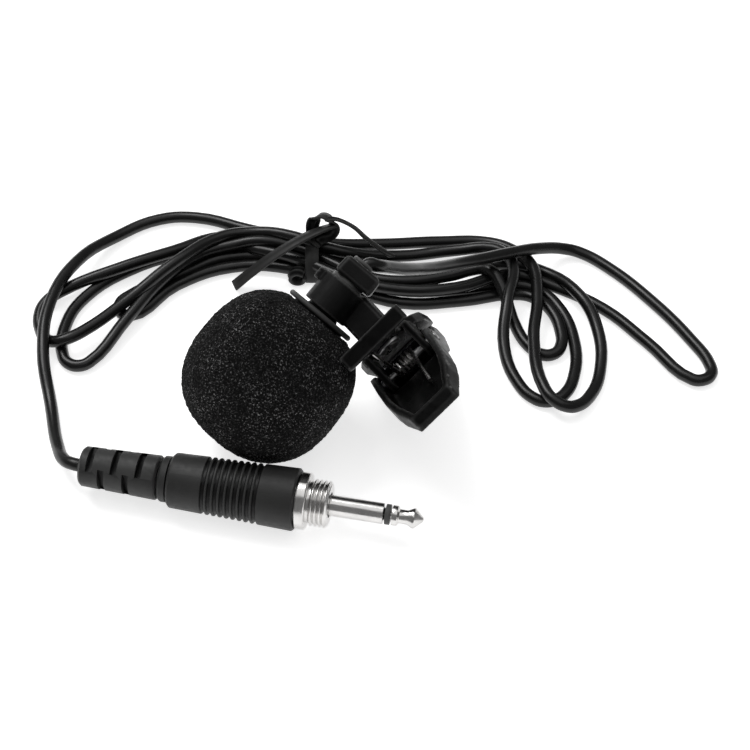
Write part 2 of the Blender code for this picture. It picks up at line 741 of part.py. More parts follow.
def hank():
    """The tied-up length: a straight bundle between two fans of loops, each one plain solid."""
    right_end, left_end = 21.0, -24.6
    bundle = [
        (left_end, 34.6), (-12, 31.0), (0, 30.6), (14, 30.6), (right_end, 29.4),
        (right_end, 19.2), (14, 16.4), (6, 15.4), (-2, 17.0), (-9, 22.4), (-14, 24.4), (left_end, 24.4),
    ]
    outline("hank_bundle", bundle, BUNDLE_BOTTOM, BUNDLE_TOP, CORD_BLACK, TABLE)
    right = [
        (right_end + GAP, 27.4), (28, 26.4), (35, 21.6), (40.6, 16.6), (43.0, 11.4), (43.2, 3.0),
        (41.0, -2.6), (37.4, -5.4), (33.4, -5.4), (28.8, -3.2), (24.6, -0.6), (22.4, 4.4), (21.8, 12.0),
        (right_end + GAP, 17.0),
    ]
    outline("hank_right_loops", right, 0.0, HANK_HEIGHT, CORD_BLACK, TABLE)
    left = [
        (left_end - GAP, 31.6), (-32.0, 31.2), (-42.0, 27.4), (-52.0, 22.6), (-59.0, 18.6), (-62.0, 12.8),
        (-61.2, 7.2), (-57.2, 3.4), (-54.6, -0.6), (-50.6, -0.6), (-46.4, 5.0), (-42.6, 11.4), (-38.0, 17.2),
        (-31.0, 22.2), (left_end - GAP, 24.6),
    ]
    outline("hank_left_loops", left, 0.0, HANK_HEIGHT, CORD_BLACK, TABLE)


def twist_tie():
    """A flat wire tie round the bundle, twisted above it, with one long end lying across."""
    x, near, far = -11.4, 22.4, 32.0
    loop = [
        (near - TIE_T, TIE_T / 4), (far + TIE_T, TIE_T / 4),
        (far + TIE_T, BUNDLE_TOP + 2 * TIE_T), (near - TIE_T, BUNDLE_TOP + 2 * TIE_T),
    ]
    tie = outline("twist_tie", loop, -TIE_WIDTH / 2, TIE_WIDTH / 2, TIE_BLACK, TABLE)
    window = [
        (near, BUNDLE_BOTTOM - GAP), (far, BUNDLE_BOTTOM - GAP),
        (far, BUNDLE_TOP + GAP), (near, BUNDLE_TOP + GAP),
    ]
    opening = outline("tie_opening", window, -5.0, 5.0, None, TABLE)
    upright = Matrix(((0, 0, 1, 0), (1, 0, 0, 0), (0, 1, 0, 0), (0, 0, 0, 1)))
    for obj in (tie, opening):
        obj.data.transform(upright)
        obj.location.x = x * MM
    knot = block("tie_knot", (3.2, 3.0, 3.0), (x + 1.2, 29.2, BUNDLE_TOP + 2.2), None, TABLE)
    end = block("tie_end", (16.0, TIE_WIDTH, TIE_T), (-6.0, 0, 0), None, TABLE,
                location=(x + 1.0, 29.4, BUNDLE_TOP + 1.5), rotation=(0, 0, 41))
    return join(cut(tie, opening), knot, end)


# ---- Build ----

clear_scene()
PARTS = new_collection("lavalier_microphone")
CUTTERS = new_collection("cutters")

FOAM = material("windscreen_foam", BLACK, 0.95)
BLACK_PLASTIC = material("moulded_black_plastic", SATIN_BLACK, 0.5)
GLOSS_BLACK = material("gloss_black_plastic", BLACK, 0.25)
BLACK_METAL = material("black_painted_metal", SATIN_BLACK, 0.45, 0.2)
MOULDED_BLACK = material("textured_black_plastic", SATIN_BLACK, 0.6)
CORD_BLACK = material("cord_pvc", BLACK, 0.3)
TIE_BLACK = material("tie_plastic", SATIN_BLACK, 0.4)
RUBBER = material("capsule_rubber", SATIN_BLACK, 0.8)
CLOTH = material("dust_cloth_fabric", SATIN_BLACK, 0.95)
WHITE_PLASTIC = material("insulator_plastic", (0.75, 0.74, 0.7), 0.5)
CIRCUIT_BOARD = material("circuit_board", (0.05, 0.22, 0.1), 0.5)
ALUMINIUM = material("capsule_aluminium", (0.75, 0.76, 0.78), 0.35, 1.0)
CONTACT_METAL = material("contact_brass", (0.78, 0.6, 0.28), 0.3, 1.0)
COPPER = material("wire_copper", (0.72, 0.38, 0.22), 0.35, 1.0)
NICKEL = material("plug_nickel", (0.72, 0.7, 0.67), 0.18, 1.0)
STEEL = material("pin_steel", (0.55, 0.55, 0.56), 0.3, 1.0)
SPRING_STEEL = material("spring_steel", (0.62, 0.6, 0.58), 0.28, 1.0)

TABLE = empty("table_frame", None, Matrix.Translation(Vector(TABLE_ORIGIN) * MM))
MIC = empty("mic_frame", TABLE, mic_matrix())
CLIP = empty("clip_frame", MIC, clip_matrix())
JAW = empty("jaw_frame", CLIP, Matrix.Translation((PIVOT[0] * MM, 0, PIVOT[1] * MM)))
PLUG = empty("plug_frame", TABLE, plug_matrix())

windscreen()
mic_body()
head_cap()
front_grille()
capsule()
core_wires()
cable_grommet()
holder_ring()
swivel_screw()
clip_jaw_upper()
clip_jaw_lower()
jaw_pin()
jaw_spring()
strain_relief()
plug_core()
lock_grip()
lock_bush()
contacts()
cord()
hank()
twist_tie()
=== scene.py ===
"""The looks of a lavalier microphone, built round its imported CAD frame.

Positions are in millimetres in the table's own frame, which TABLE_ORIGIN moves to the shared frame, unless a
helper says otherwise. The camera and the cord come first.
"""

import math

import bmesh
import bpy
from mathutils import Matrix, Vector, noise


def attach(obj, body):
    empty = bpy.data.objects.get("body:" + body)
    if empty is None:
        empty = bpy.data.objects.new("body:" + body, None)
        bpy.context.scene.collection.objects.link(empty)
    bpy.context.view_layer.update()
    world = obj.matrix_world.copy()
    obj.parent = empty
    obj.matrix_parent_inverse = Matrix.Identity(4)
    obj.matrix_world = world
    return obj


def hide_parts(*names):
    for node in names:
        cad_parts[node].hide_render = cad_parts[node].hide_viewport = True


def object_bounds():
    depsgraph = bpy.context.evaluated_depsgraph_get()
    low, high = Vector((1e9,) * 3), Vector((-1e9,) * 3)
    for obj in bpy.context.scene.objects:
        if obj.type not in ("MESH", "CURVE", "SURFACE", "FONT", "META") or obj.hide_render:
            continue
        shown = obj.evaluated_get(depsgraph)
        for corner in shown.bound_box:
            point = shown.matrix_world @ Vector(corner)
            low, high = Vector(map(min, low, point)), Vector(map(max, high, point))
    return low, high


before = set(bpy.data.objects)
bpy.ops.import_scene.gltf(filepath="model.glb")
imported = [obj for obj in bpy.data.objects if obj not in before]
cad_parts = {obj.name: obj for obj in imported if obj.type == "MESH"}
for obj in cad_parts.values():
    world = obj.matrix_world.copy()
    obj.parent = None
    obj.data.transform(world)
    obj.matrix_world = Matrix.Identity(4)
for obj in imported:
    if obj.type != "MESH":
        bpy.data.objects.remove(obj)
CAD_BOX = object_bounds()

MM = 0.001
TABLE_ORIGIN = Vector((9.16, 11.7, 0.0))
CORD_DIAMETER = 2.2


def at(point):
    """A point of the table's frame, in metres in the shared frame."""
    return (Vector(point) + TABLE_ORIGIN) * MM


def frame_matrix(origin, x, y, z):
    """A frame with these axes and an origin in millimetres in the shared frame."""
    matrix = Matrix.Identity(4)
    for index, column in enumerate((Vector(x), Vector(y), Vector(z), Vector(origin) * MM)):
        for row in range(3):
            matrix[row][index] = column[row]
    return matrix


MIC = frame_matrix(
    (0.36, 7.5, 20.98),
    (0.766102, -0.492776, -0.412625),
    (0.000492, 0.642449, -0.766329),
    (0.642719, 0.586883, 0.492424),
)

# ---- Camera ----

CAMERA_TILT = math.radians(50.0)
CAMERA_DISTANCE = 0.330
CAMERA_ANGLE = math.radians(22.62)
VIEW = Vector((0.0, -math.cos(CAMERA_TILT), math.sin(CAMERA_TILT)))


def make_camera():
    target = at((0, 0, 0))
    camera = bpy.data.objects.new("camera", bpy.data.cameras.new("camera"))
    bpy.context.scene.collection.objects.link(camera)
    camera.data.angle = CAMERA_ANGLE
    camera.data.clip_start = 0.01
    camera.data.clip_end = 20.0
    camera.location = target + VIEW * CAMERA_DISTANCE
    camera.rotation_euler = (math.radians(90.0) - CAMERA_TILT, 0.0, 0.0)
    bpy.context.scene.camera = camera


make_camera()

# ---- Materials ----


def node(tree, kind, **values):
    made = tree.nodes.new(kind)
    for name, value in values.items():
        if name in made.inputs:
            made.inputs[name].default_value = value
        else:
            setattr(made, name, value)
    return made


def ramp(tree, source, stops):
    made = tree.nodes.new("ShaderNodeValToRGB")
    elements = made.color_ramp.elements
    elements[0].position, elements[0].color = stops[0][0], (*stops[0][1], 1.0)
    elements[1].position, elements[1].color = stops[-1][0], (*stops[-1][1], 1.0)
    for place, colour in stops[1:-1]:
        elements.new(place).color = (*colour, 1.0)
    tree.links.new(source, made.inputs["Fac"])
    return made.outputs["Color"]


def span(tree, source, low, high, start=0.3, end=0.7):
    """source, from start to end, mapped to low to high."""
    made = tree.nodes.new("ShaderNodeMapRange")
    made.inputs["From Min"].default_value = start
    made.inputs["From Max"].default_value = end
    made.inputs["To Min"].default_value = low
    made.inputs["To Max"].default_value = high
    tree.links.new(source, made.inputs["Value"])
    return made.outputs["Result"]


def grey(value, warm=0.0):
    return (value * (1 + warm), value, value * (1 - warm))


def surface(name, dark, light, rough, metallic=0.0, grain=0.0, grain_size=0.2, depth=0.01, mottle=4.0,
            edge=0.0, specular=0.5, scratches=0.0):
    """A finish: colour drifting from dark to light over mottle mm, roughness between rough's two values,
    a bump of grain_size mm, fine scratches, and edges painted lighter, partly as wear and partly as a
    painted highlight along the edges."""
    mat = bpy.data.materials.new(name)
    mat.use_nodes = True
    tree = mat.node_tree
    shader = tree.nodes["Principled BSDF"]
    shader.inputs["Metallic"].default_value = metallic
    shader.inputs["Specular IOR Level"].default_value = specular
    place = tree.nodes.new("ShaderNodeTexCoord").outputs["Object"]
    drift = node(tree, "ShaderNodeTexNoise", Scale=1000.0 / mottle, Detail=5.0, Roughness=0.62)
    tree.links.new(place, drift.inputs["Vector"])
    colour = ramp(tree, drift.outputs["Fac"], [(0.3, dark), (0.72, light)])
    # Convex edges painted lighter by edge: partly wear, partly a painted highlight standing in for light
    # along them.
    if edge:
        edge_wear_and_highlight = node(tree, "ShaderNodeMix", data_type="RGBA")
        convex = tree.nodes.new("ShaderNodeNewGeometry").outputs["Pointiness"]
        tree.links.new(span(tree, convex, 0.0, edge, 0.505, 0.56), edge_wear_and_highlight.inputs[0])
        tree.links.new(colour, edge_wear_and_highlight.inputs[6])
        edge_wear_and_highlight.inputs[7].default_value = (0.34, 0.34, 0.335, 1.0)
        colour = edge_wear_and_highlight.outputs[2]
    tree.links.new(colour, shader.inputs["Base Color"])
    handled = node(tree, "ShaderNodeTexNoise", Scale=2600.0 / mottle, Detail=3.0)
    tree.links.new(place, handled.inputs["Vector"])
    shine = span(tree, handled.outputs["Fac"], rough[0], rough[1])
    tree.links.new(shine, shader.inputs["Roughness"])
    normal = None
    if grain:
        fine = node(tree, "ShaderNodeTexNoise", Scale=1000.0 / grain_size, Detail=2.0)
        tree.links.new(place, fine.inputs["Vector"])
        normal = node(tree, "ShaderNodeBump", Strength=grain, Distance=depth * MM)
        tree.links.new(fine.outputs["Fac"], normal.inputs["Height"])
    if scratches:
        stretch = node(tree, "ShaderNodeMapping", Scale=(0.14, 1.0, 3.2), Rotation=(0.4, 0.7, 0.9))
        tree.links.new(place, stretch.inputs["Vector"])
        lines = node(tree, "ShaderNodeTexNoise", Scale=2600.0, Detail=2.0)
        tree.links.new(stretch.outputs["Vector"], lines.inputs["Vector"])
        scratch = node(tree, "ShaderNodeBump", Strength=scratches, Distance=0.01 * MM)
        tree.links.new(span(tree, lines.outputs["Fac"], 0.0, 1.0, 0.62, 0.7), scratch.inputs["Height"])
        if normal:
            tree.links.new(normal.outputs["Normal"], scratch.inputs["Normal"])
        normal = scratch
    if normal:
        tree.links.new(normal.outputs["Normal"], shader.inputs["Normal"])
    return mat


def foam_material():
    """Open-cell foam: near-black, with light flecks where single grains catch the light."""
    mat = bpy.data.materials.new("windscreen_foam")
    mat.use_nodes = True
    tree = mat.node_tree
    shader = tree.nodes["Principled BSDF"]
    shader.inputs["Roughness"].default_value = 0.9
    shader.inputs["Specular IOR Level"].default_value = 0.15
    place = tree.nodes.new("ShaderNodeTexCoord").outputs["Object"]
    grit = node(tree, "ShaderNodeTexNoise", Scale=2300.0, Detail=4.0, Roughness=0.7)
    tree.links.new(place, grit.inputs["Vector"])
    flecks = node(tree, "ShaderNodeTexNoise", Scale=3300.0, Detail=3.0, Roughness=0.7)
    tree.links.new(place, flecks.inputs["Vector"])
    patches = node(tree, "ShaderNodeTexNoise", Scale=260.0, Detail=3.0)
    tree.links.new(place, patches.inputs["Vector"])
    lit = node(tree, "ShaderNodeMath", operation="MULTIPLY")
    tree.links.new(span(tree, flecks.outputs["Fac"], 0.0, 1.0, 0.44, 0.66), lit.inputs[0])
    tree.links.new(span(tree, patches.outputs["Fac"], 0.7, 1.0, 0.3, 0.7), lit.inputs[1])
    colour = ramp(tree, lit.outputs["Value"], [(0.0, grey(0.001)), (0.3, grey(0.004)), (0.65, grey(0.045)),
                                               (1.0, grey(0.4))])
    tree.links.new(colour, shader.inputs["Base Color"])
    bump = node(tree, "ShaderNodeBump", Strength=1.0, Distance=0.6 * MM)
    tree.links.new(grit.outputs["Fac"], bump.inputs["Height"])
    tree.links.new(bump.outputs["Normal"], shader.inputs["Normal"])
    return mat


FOAM = foam_material()
CORD_PVC = surface("cord_pvc", grey(0.003), grey(0.006), (0.24, 0.36), grain=0.18, grain_size=0.25,
                   depth=0.012, mottle=9.0, specular=0.38)
MATT = surface("moulded_black_plastic", grey(0.003), grey(0.008), (0.34, 0.5), grain=0.35, grain_size=0.12,
               depth=0.012, mottle=3.0, edge=0.25, scratches=0.25, specular=0.15)
GLOSS = surface("gloss_black_plastic", grey(0.002), grey(0.006), (0.26, 0.4), grain=0.1, grain_size=0.9,
                depth=0.02, mottle=3.0, edge=0.22, specular=0.07, scratches=0.22)
PAINTED = surface("black_painted_metal", grey(0.012), grey(0.022), (0.38, 0.5), metallic=0.3, grain=0.3,
                  grain_size=0.1, mottle=2.0, edge=0.25)
TEXTURED = surface("textured_black_plastic", grey(0.003), grey(0.008), (0.38, 0.55), grain=0.8,
                   grain_size=0.16, depth=0.03, mottle=2.5, edge=0.12, specular=0.22)
TIE = surface("tie_plastic", grey(0.002), grey(0.005), (0.34, 0.52), grain=0.35, grain_size=0.3, depth=0.02,
              mottle=2.0, edge=0.1, specular=0.14)
RUBBER = surface("capsule_rubber", grey(0.012), grey(0.02), (0.7, 0.85), grain=0.4, grain_size=0.1)
CLOTH = surface("dust_cloth_fabric", grey(0.01), grey(0.03), (0.85, 0.95), grain=0.9, grain_size=0.08,
                depth=0.03)
INSULATOR = surface("insulator_plastic", grey(0.62, 0.03), grey(0.72, 0.03), (0.4, 0.55), grain=0.15)
BOARD = surface("circuit_board", (0.03, 0.16, 0.07), (0.05, 0.24, 0.1), (0.35, 0.5), grain=0.2)
ALUMINIUM = surface("capsule_aluminium", grey(0.6), grey(0.74), (0.28, 0.42), metallic=1.0, grain=0.15)
BRASS = surface("contact_brass", (0.6, 0.44, 0.19), (0.74, 0.56, 0.25), (0.25, 0.38), metallic=1.0,
                grain=0.1)
COPPER = surface("wire_copper", (0.6, 0.3, 0.17), (0.72, 0.38, 0.22), (0.28, 0.4), metallic=1.0, grain=0.1)
NICKEL = surface("plug_nickel", grey(0.56, 0.015), grey(0.68, 0.015), (0.16, 0.27), metallic=1.0, grain=0.12,
                 grain_size=0.3, depth=0.008, mottle=3.0, scratches=0.3)
STEEL = surface("pin_steel", grey(0.42), grey(0.52), (0.26, 0.38), metallic=1.0, grain=0.15, scratches=0.3)
SPRING = surface("spring_steel", grey(0.5, 0.02), grey(0.62, 0.02), (0.2, 0.32), metallic=1.0, grain=0.2,
                 grain_size=0.1)
FINISHES = {
    "windscreen_foam": FOAM, "cord_pvc": CORD_PVC, "moulded_black_plastic": MATT,
    "gloss_black_plastic": GLOSS, "black_painted_metal": PAINTED,
    "textured_black_plastic": TEXTURED, "tie_plastic": TIE,
    "capsule_rubber": RUBBER, "dust_cloth_fabric": CLOTH, "insulator_plastic": INSULATOR,
    "circuit_board": BOARD, "capsule_aluminium": ALUMINIUM, "contact_brass": BRASS, "wire_copper": COPPER,
    "plug_nickel": NICKEL, "pin_steel": STEEL, "spring_steel": SPRING,
}


def finish_cad_nodes():
    """Every CAD node that stays takes its slot's finish."""
    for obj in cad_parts.values():
        for held in obj.material_slots:
            held.material = FINISHES[held.material.name.split(".")[0]]


finish_cad_nodes()

# ---- The cord: one length from the grommet, through the tied hank, to the plug ----

CORD_ROUTE = [
    (-2.4, 0.9, 25.1), (-1.1, 2.1, 26.1), (0.6, 2.4, 25.4), (1.9, 3.4, 24.1), (3.6, 4.9, 22.2),
    (5.3, 6.5, 20.3), (8.3, 10.1, 16.5), (11.7, 13.7, 13.2), (15.5, 17.4, 10.3), (20.1, 20.6, 8.2),
    (25.1, 23.5, 6.6), (30, 26.5, 4.5), (35.1, 28.6, 2.2), (38, 28.4, 1.4), (42.8, 25, 1.1),
    (50, 16.6, 1.2), (56.1, 7.5, 1.1), (59, 1.2, 1.1), (58.9, -0.8, 1.1), (57.4, -2.1, 1.2),
    (55.5, -2, 1.2), (48.5, 6.4, 1.2), (41.2, 14.6, 1.2), (32, 20.5, 1.1), (26.5, 22.5, 1.6),
    (23.7, 21.8, 2.4), (14.7, 17.8, 3.3), (3.8, 17.3, 3.4), (-4.8, 19.8, 3.6), (-14.3, 25.1, 3.2),
    (-21.7, 27.9, 2.7), (-25.2, 29.5, 1.6), (-35, 28.6, 1.1), (-45.1, 24.2, 1.1), (-52.5, 17.6, 1.1),
    (-55.3, 11.3, 1.1), (-55.1, 3.4, 1.1), (-53.9, 1.7, 1.1), (-52.1, 1.2, 1.1), (-50.3, 2, 1.2),
    (-44.3, 11, 2.6), (-38.5, 20.2, 3), (-32.2, 26.6, 2.8), (-26.6, 28.5, 3.2), (-20.8, 29, 3.9),
    (-13.1, 27.3, 3.2), (-3.7, 21.6, 3.2), (2.9, 19.5, 3.3), (13.7, 20.8, 3.3), (17.5, 21.9, 3.6),
    (19.4, 21.7, 4.2), (20.9, 20.7, 4.8), (22.1, 19.1, 4.6), (25.5, 9.2, 1.3), (27.9, 4.9, 1.2),
    (29.5, 3.7, 1.2), (31.5, 3.8, 1.2), (32.8, 5.2, 1.3), (33.1, 9.1, 1.5), (31.6, 13.9, 1.7),
    (29.1, 16.9, 1.4), (26.4, 18.1, 1.2), (15.6, 16.6, 1.1), (4.7, 16, 1.2), (-5.5, 19.9, 1.2),
    (-15.5, 24.4, 1.3), (-26.4, 24.9, 1.2), (-36.2, 20.3, 1.3), (-44.2, 13, 1.1), (-45.9, 13.9, 1.1),
    (-46.2, 15.8, 1.1), (-45.1, 17.4, 1.1), (-35.7, 23.1, 1.1), (-26.8, 27.4, 1.2), (-15.8, 26.6, 1.1),
    (-5.6, 22.8, 1.1), (3.7, 19.3, 1.1), (14.7, 19.3, 1.1), (25.6, 20.4, 1.2), (29.4, 19.3, 1.1),
    (32.8, 15.7, 1.1), (35.4, 7.2, 1.1), (34.7, -1.7, 1.1), (32.9, -5.3, 1.1), (31.4, -6.5, 1.1),
    (29.4, -6.9, 1.1), (27.6, -6.2, 1.1), (25.1, -3.1, 1.2), (22.8, 4.4, 2.3), (23.6, 13, 4.7),
    (25.1, 21.7, 4.7), (23.8, 25.4, 4.2), (21.6, 27.4, 3.6), (15, 28.5, 1.9), (4.1, 27.5, 1.4),
    (-6.5, 26.4, 3.9), (-16.8, 29.8, 4.8), (-22.5, 31.1, 4), (-28.3, 29.7, 4.3), (-36.3, 22.3, 5.2),
    (-44.2, 14.9, 3.5), (-51.9, 7.2, 3.3), (-54.4, 5.6, 3.3), (-56.3, 5.4, 2.8), (-57.9, 6.3, 2),
    (-59.5, 8.7, 1.2), (-60.4, 13.5, 1.2), (-59.4, 16.3, 1.4), (-57.1, 18.2, 1.8), (-47.2, 22.5, 3.2),
    (-37.2, 27.1, 3.1), (-28.1, 32.5, 1.3), (-17.3, 30.5, 1.1), (-7, 26.9, 1.2), (3.7, 24.6, 1.2),
    (14.7, 25, 1.1), (25.7, 25.6, 1.1), (30.3, 24, 1.3), (37.1, 15.7, 3.2), (39.6, 9.4, 2),
    (39.6, 0.5, 1.1), (37.2, -6, 1.3), (34.5, -8.8, 2.1), (32.7, -9.2, 2.7), (31, -8.5, 3.2),
    (29.3, -6, 3.4), (28, 4.9, 3.4), (29.2, 15.8, 3.6), (28.5, 23.7, 3.3), (25.3, 28.5, 2.1),
    (21.1, 31.1, 1.3), (12.2, 31.5, 1.1), (1.3, 30.3, 1.7), (-9.5, 29.1, 3.1), (-13.4, 29.9, 3),
    (-23.4, 33.9, 1.8), (-33.7, 37.7, 1.2), (-40.6, 37.3, 1.1), (-48.1, 32.5, 1.5), (-54.4, 23.9, 3.8),
    (-58.1, 13.6, 4.2), (-58.3, 2.7, 3.3), (-56, -7.8, 1.3), (-53.4, -18.3, 2.8), (-51.5, -22.5, 4.6),
    (-50, -23.6, 5.2), (-49, -23.9, 5.2),
]


def smooth_tube(name, points, radius, mat):
    """A round tube on one smooth curve through points in metres."""
    curve = bpy.data.curves.new(name, "CURVE")
    curve.dimensions = "3D"
    curve.resolution_u = 5
    curve.bevel_depth = radius
    curve.bevel_resolution = 4
    curve.use_fill_caps = True
    spline = curve.splines.new("BEZIER")
    spline.bezier_points.add(len(points) - 1)
    for knot, point in zip(spline.bezier_points, points):
        knot.co = point
        knot.handle_left_type = knot.handle_right_type = "AUTO"
    curve.materials.append(mat)
    obj = bpy.data.objects.new(name, curve)
    bpy.context.scene.collection.objects.link(obj)
    return obj


cord = smooth_tube("mic_cord", [at(point) for point in CORD_ROUTE], CORD_DIAMETER / 2 * MM, CORD_PVC)
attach(cord, "root")
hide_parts("cord_lead", "cord_tail", "hank_bundle", "hank_right_loops", "hank_left_loops")

# ---- Mesh helpers ----


def mesh_object(name, verts, faces, mat, smooth=True):
    """A new object of this mesh, its vertices in metres, with its faces turned outward."""
    mesh = bpy.data.meshes.new(name)
    mesh.from_pydata([tuple(v) for v in verts], [], faces)
    mesh.materials.append(mat)
    shape = bmesh.new()
    shape.from_mesh(mesh)
    bmesh.ops.recalc_face_normals(shape, faces=shape.faces)
    for face in shape.faces:
        face.smooth = smooth
    shape.to_mesh(mesh)
    shape.free()
    obj = bpy.data.objects.new(name, mesh)
    bpy.context.scene.collection.objects.link(obj)
    return obj


SHARP = math.radians(32.0)
FLAT = math.radians(0.8)
WELD = 0.002 * MM


def soften(obj, width, segments):
    """Rounds an object's sharp edges, width millimetres wide, and evens its shading."""
    step = obj.modifiers.new("rounded_edges", "BEVEL")
    step.width = width * MM
    step.segments = segments
    step.limit_method = "ANGLE"
    step.angle_limit = SHARP
    step.harden_normals = False
    step.use_clamp_overlap = True
    even = obj.modifiers.new("even_normals", "WEIGHTED_NORMAL")
    even.keep_sharp = False


def refined(node_name, piece_name, mat, slot, body, bevel, passes, melt=0.0):
    """A CAD node's own shape with its edges rounded, which stands for the node. Its edges take a bevel of
    passes segments; with melt, it is rebuilt from cells of that size and relaxed passes times instead."""
    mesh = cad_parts[node_name].data.copy()
    mesh.name = piece_name
    shape = bmesh.new()
    shape.from_mesh(mesh)
    bmesh.ops.remove_doubles(shape, verts=shape.verts, dist=WELD)
    if not melt:
        bmesh.ops.dissolve_limit(shape, angle_limit=FLAT, verts=shape.verts, edges=shape.edges)
    for face in shape.faces:
        face.smooth = True
    for edge in shape.edges:
        if len(edge.link_faces) == 2 and edge.calc_face_angle(0.0) > SHARP:
            edge.smooth = False
    shape.to_mesh(mesh)
    shape.free()
    mesh.materials.clear()
    mesh.materials.append(mat)
    obj = bpy.data.objects.new(piece_name, mesh)
    bpy.context.scene.collection.objects.link(obj)
    if melt:
        cells = obj.modifiers.new("small_cells", "REMESH")
        cells.mode = "VOXEL"
        cells.voxel_size = melt * MM
        cells.use_smooth_shade = True
        relax = obj.modifiers.new("soft_radii", "SMOOTH")
        relax.factor = 0.5
        relax.iterations = passes
    elif bevel:
        soften(obj, bevel, passes)
    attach(obj, body)
    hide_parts(node_name)
    return obj


def catmull(points, per_span):
    """Points on a smooth curve through points, per_span to each span; works for vectors of any size."""
    ends = [[2 * a - b for a, b in zip(points[0], points[1])], *points,
            [2 * a - b for a, b in zip(points[-1], points[-2])]]
    read = []
    for p, q, r, s in zip(ends, ends[1:], ends[2:], ends[3:]):
        for i in range(per_span):
            t = i / per_span
            read.append([0.5 * (2 * b + (c - a) * t + (2 * a - 5 * b + 4 * c - d) * t * t
                                + (3 * b - a - 3 * c + d) * t ** 3) for a, b, c, d in zip(p, q, r, s)])
    read.append(list(points[-1]))
    return read


# ---- The tie: a flat wired strip, looped round the hank and twisted above it ----

TIE_SECTION = [
    (-0.5, -0.1), (-0.5, 0.1), (-0.46, 0.17), (-0.2, 0.17), (-0.1, 0.3), (0.0, 0.36), (0.1, 0.3),
    (0.2, 0.17), (0.46, 0.17), (0.5, 0.1), (0.5, -0.1), (0.46, -0.17), (0.0, -0.2), (-0.46, -0.17),
]


def ribbon(name, stations, width, thick, mat):
    """A flat strip with a wire's ridge down its middle. Each station is its point, in millimetres in the
    table's frame, and its width's direction."""
    rows = catmull([[*point, *Vector(across).normalized()] for point, across in stations], 5)
    places = [Vector(row[:3]) for row in rows]
    verts, faces, count = [], [], len(TIE_SECTION)
    for i, row in enumerate(rows):
        before, after = places[max(i - 1, 0)], places[min(i + 1, len(places) - 1)]
        along = (after - before).normalized()
        across = Vector(row[3:6])
        across = (across - along * across.dot(along)).normalized()
        up = across.cross(along)
        for u, v in TIE_SECTION:
            verts.append(at(places[i] + across * (u * width) + up * (v * thick)))
        if i:
            base = (i - 1) * count
            faces += [(base + k, base + (k + 1) % count, base + count + (k + 1) % count, base + count + k)
                      for k in range(count)]
    faces += [tuple(range(count)), tuple(range(len(verts) - count, len(verts)))]
    return mesh_object(name, verts, faces, mat)


X_AXIS = (1.0, 0.0, 0.0)
TIE_X = -11.5


def tie():
    """The band round the hank with its knot, its two tails and the curl at its foot."""
    x = TIE_X
    loop = [
        ((x, 25.9, 5.75), X_AXIS), ((x, 23.6, 4.75), X_AXIS), ((x, 22.5, 3.4), X_AXIS),
        ((x, 21.65, 1.6), X_AXIS), ((x, 22.2, 0.4), X_AXIS), ((x, 25.4, 0.25), X_AXIS),
        ((x, 28.6, 0.3), X_AXIS), ((x, 30.3, 1.6), X_AXIS), ((x, 30.7, 3.6), X_AXIS),
        ((x, 30.2, 5.6), X_AXIS), ((x + 0.1, 29.9, 7.4), (1, 0.1, 0)),
        ((x + 0.7, 29.9, 9.0), (0.9, 0.3, 0.4)), ((x + 2.2, 29.7, 9.8), (0.3, 0.8, -0.4)),
        ((x + 3.5, 28.9, 9.2), (-0.4, 0.8, 0.2)), ((x + 3.9, 28.1, 7.9), (-0.9, 0.4, 0.3)),
        ((x + 3.2, 27.6, 7.0), (-1.0, 0.0, 0.3)), ((x + 1.4, 27.0, 6.7), (-1, -0.1, 0)),
        ((x + 0.2, 26.0, 6.1), X_AXIS),
    ]
    band = ribbon("tie_band", loop, 2.5, 1.5, TIE)
    first_tail = ribbon("tie_tail_flat", [
        ((x + 4.2, 28.6, 8.4), (0.4, -0.7, 0.5)), ((x + 2.0, 27.7, 8.3), (0.45, -0.75, 0.4)),
        ((x - 1.8, 26.0, 7.6), (0.5, -0.8, 0.3)), ((x - 6.5, 23.6, 6.0), (0.5, -0.8, 0.25)),
        ((x - 11.0, 21.6, 3.4), (0.5, -0.8, 0.2)), ((x - 14.2, 20.3, 1.1), (0.5, -0.85, 0.1)),
    ], 2.4, 1.5, TIE)
    second_tail = ribbon("tie_tail_arched", [
        ((x + 2.6, 29.2, 9.5), (0.1, -0.9, 0.4)), ((x + 4.8, 28.7, 9.6), (0.1, -0.75, 0.65)),
        ((x + 7.6, 27.4, 9.0), (0.15, -0.7, 0.7)), ((x + 10.0, 25.6, 7.9), (0.2, -0.65, 0.75)),
        ((x + 12.8, 24.6, 6.0), (0.25, -0.6, 0.75)), ((x + 14.6, 24.6, 4.4), (0.3, -0.5, 0.8)),
    ], 2.1, 1.4, TIE)
    centre, radius, turns = Vector((x - 2.6, 22.0, 1.95)), 1.3, 10
    curl = ribbon("tie_curl", [
        (centre + Vector((math.cos(a) * radius, 0.0, math.sin(a) * radius)), (0.15, 0.9, 0.3))
        for a in [math.radians(40 + 36 * i) for i in range(turns)]
    ], 1.9, 1.7, TIE)
    for piece in (band, first_tail, second_tail, curl):
        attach(piece, "root")
    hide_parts("twist_tie")
    return [band, first_tail, second_tail, curl]


TIE_PIECES = tie()

# ---- The foam windscreen ----

FOAM_R, FOAM_WIDEST, FOAM_FRONT, FOAM_MOUTH = 13.5, -14.3, 13.2, -1.2
FOAM_AROUND, FOAM_ALONG = 300, 190
FOAM_BORE_R, FOAM_BORE_END, FOAM_LIP = 6.15, -12.5, 0.35
FOAM_SWELL = 0.12


